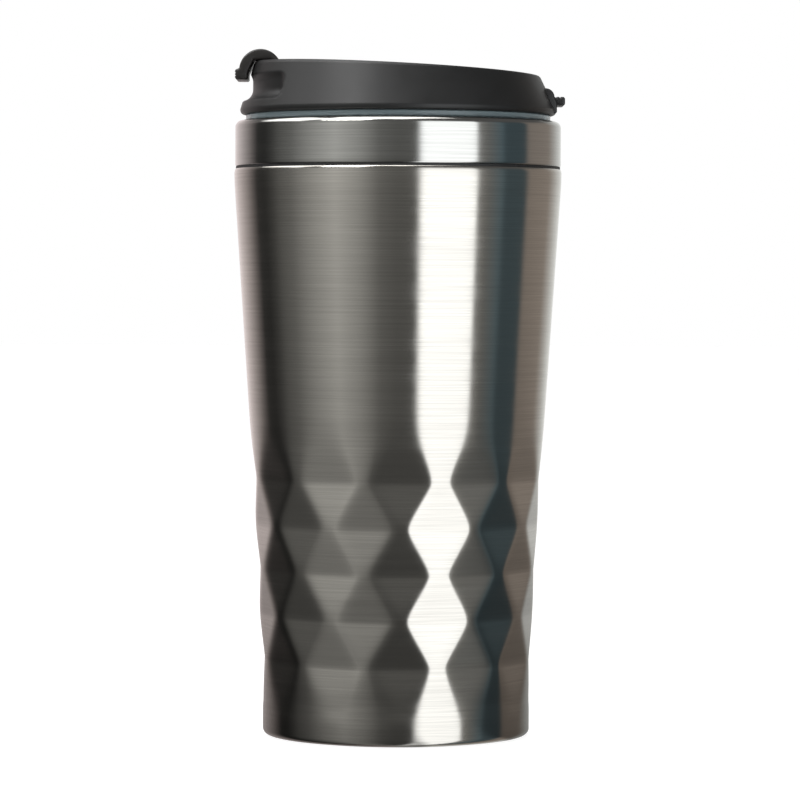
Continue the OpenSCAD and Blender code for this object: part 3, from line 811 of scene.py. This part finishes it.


# painted shade on the table as the steel mirrors it, darkest beside the mug
def makeTableCard():  # seen in reflections only
    radius = studio["tableCard"][-1][0]
    bpy.ops.object.select_all(action="DESELECT")
    bpy.ops.mesh.primitive_circle_add(vertices=96, radius=radius, fill_type="NGON", location=(0, 0, -1 * mm))
    card = bpy.context.object
    card.name = "tableCard"
    material, tree = newMaterial("paintedTableShadeInReflections")
    coords = addNode(tree, "ShaderNodeTexCoord")
    away = addNode(tree, "ShaderNodeVectorMath", {0: coords.outputs["Object"]}, operation="LENGTH")
    share = addNode(tree, "ShaderNodeMath", {0: away.outputs["Value"], 1: radius}, operation="DIVIDE")
    ramp = addNode(tree, "ShaderNodeValToRGB", {"Fac": share.outputs[0]})
    fillRamp(ramp, [(place / radius, (level, level, level)) for place, level in studio["tableCard"]])
    # under the bright strip the table gleams instead of taking the painted shade
    parts = addNode(tree, "ShaderNodeSeparateXYZ", {"Vector": coords.outputs["Object"]})
    back = addNode(tree, "ShaderNodeMath", {0: parts.outputs["Y"], 1: -1.0}, operation="MULTIPLY")
    angle = addNode(tree, "ShaderNodeMath", {0: parts.outputs["X"], 1: back.outputs[0]}, operation="ARCTAN2")
    turn = addNode(tree, "ShaderNodeMapRange", {
        "Value": angle.outputs[0], "From Min": 0.0, "From Max": math.pi})
    glow = addNode(tree, "ShaderNodeValToRGB", {"Fac": turn.outputs[0]})
    fillRamp(glow, [(azimuth / 180, (share, share, share)) for azimuth, share in studio["stripGlow"]])
    colour = addNode(tree, "ShaderNodeMix", data_type="RGBA")
    tree.links.new(glow.outputs["Color"], colour.inputs[0])
    tree.links.new(ramp.outputs["Color"], colour.inputs[6])
    colour.inputs[7].default_value = (1, 1, 1, 1)
    endMaterial(tree, addNode(tree, "ShaderNodeBsdfTransparent", {"Color": colour.outputs[2]}))
    card.data.materials.append(material)
    for ray in ("visible_camera", "visible_diffuse", "visible_shadow", "visible_transmission"):
        setattr(card, ray, False)


def fillRamp(ramp, entries):
    stops = ramp.color_ramp.elements
    while len(stops) > 1:
        stops.remove(stops[-1])
    for i, (place, colour) in enumerate(entries):
        stop = stops[0] if i == 0 else stops.new(place)
        stop.position = place
        stop.color = (*colour, 1)


def makeWorld():
    world = bpy.data.worlds.new("studio")
    bpy.context.scene.world = world
    world.use_nodes = True
    tree = world.node_tree
    tree.nodes.clear()
    coords = addNode(tree, "ShaderNodeTexCoord")
    parts = addNode(tree, "ShaderNodeSeparateXYZ", {"Vector": coords.outputs["Generated"]})
    # azimuth from the camera's side (-Y), growing towards +X
    back = addNode(tree, "ShaderNodeMath", {0: parts.outputs["Y"], 1: -1.0}, operation="MULTIPLY")
    angle = addNode(tree, "ShaderNodeMath", {0: parts.outputs["X"], 1: back.outputs[0]}, operation="ARCTAN2")
    share = addNode(tree, "ShaderNodeMapRange", {
        "Value": angle.outputs[0], "From Min": -math.pi, "From Max": math.pi})
    ramp = addNode(tree, "ShaderNodeValToRGB", {"Fac": share.outputs[0]})
    fillRamp(ramp, [((azimuth + 180) / 360, [level * part for part in studio["tints"][tint]])
                    for azimuth, level, tint in studio["bands"]])
    level, low, high = studio["overhead"]
    lift = addNode(tree, "ShaderNodeMapRange", {
        "Value": parts.outputs["Z"], "From Min": math.sin(math.radians(low)),
        "From Max": math.sin(math.radians(high))})
    colour = addNode(tree, "ShaderNodeMix", data_type="RGBA")
    tree.links.new(lift.outputs[0], colour.inputs[0])
    tree.links.new(ramp.outputs["Color"], colour.inputs[6])
    colour.inputs[7].default_value = (level, level, level, 1)
    light = addNode(tree, "ShaderNodeBackground", {"Color": colour.outputs[2], "Strength": 1.0})
    addNode(tree, "ShaderNodeOutputWorld", {"Surface": light.outputs[0]})


def addSoftbox(name, azimuth, elevation, distance, width, height, power):
    # azimuth from the camera, positive to its right; aimed at the middle of the mug
    target = Vector((0, 0, 0.085))
    a, e = math.radians(azimuth), math.radians(elevation)
    away = Vector((math.sin(a) * math.cos(e), -math.cos(a) * math.cos(e), math.sin(e)))
    data = bpy.data.lights.new(name, "AREA")
    data.shape, data.size, data.size_y, data.energy = "RECTANGLE", width, height, power
    lamp = bpy.data.objects.new(name, data)
    lamp.location = target + away * distance
    lamp.rotation_euler = away.to_track_quat("Z", "Y").to_euler()
    lamp.visible_camera = False
    bpy.context.scene.collection.objects.link(lamp)


def makeCamera():
    # height and tilt as measured, long lens, barely looking down
    camera = {
        "distance": 1.017, "height": 0.1119, "aside": 0.0006, "tiltDown": 1.676, "roll": 0.23, "lens": 186.75,
    }
    data = bpy.data.cameras.new("camera")
    data.lens, data.sensor_width = camera["lens"], 36.0
    obj = bpy.data.objects.new("camera", data)
    obj.location = (camera["aside"], -camera["distance"], camera["height"])
    obj.rotation_euler = (math.radians(90 - camera["tiltDown"]), math.radians(-camera["roll"]), 0)
    bpy.context.scene.collection.objects.link(obj)
    bpy.context.scene.camera = obj


makeStage()
makeTableCard()
makeWorld()
addSoftbox("topSoftbox", -30, 80, 1.2, 0.9, 0.9, 7)
addSoftbox("leftSoftbox", -45, 50, 1.1, 0.5, 0.5, 6)
addSoftbox("sideSoftbox", -100, 46, 1.2, 0.9, 0.7, 5)
makeCamera()
bpy.context.scene.view_settings.view_transform = "Standard"
print("stage made")
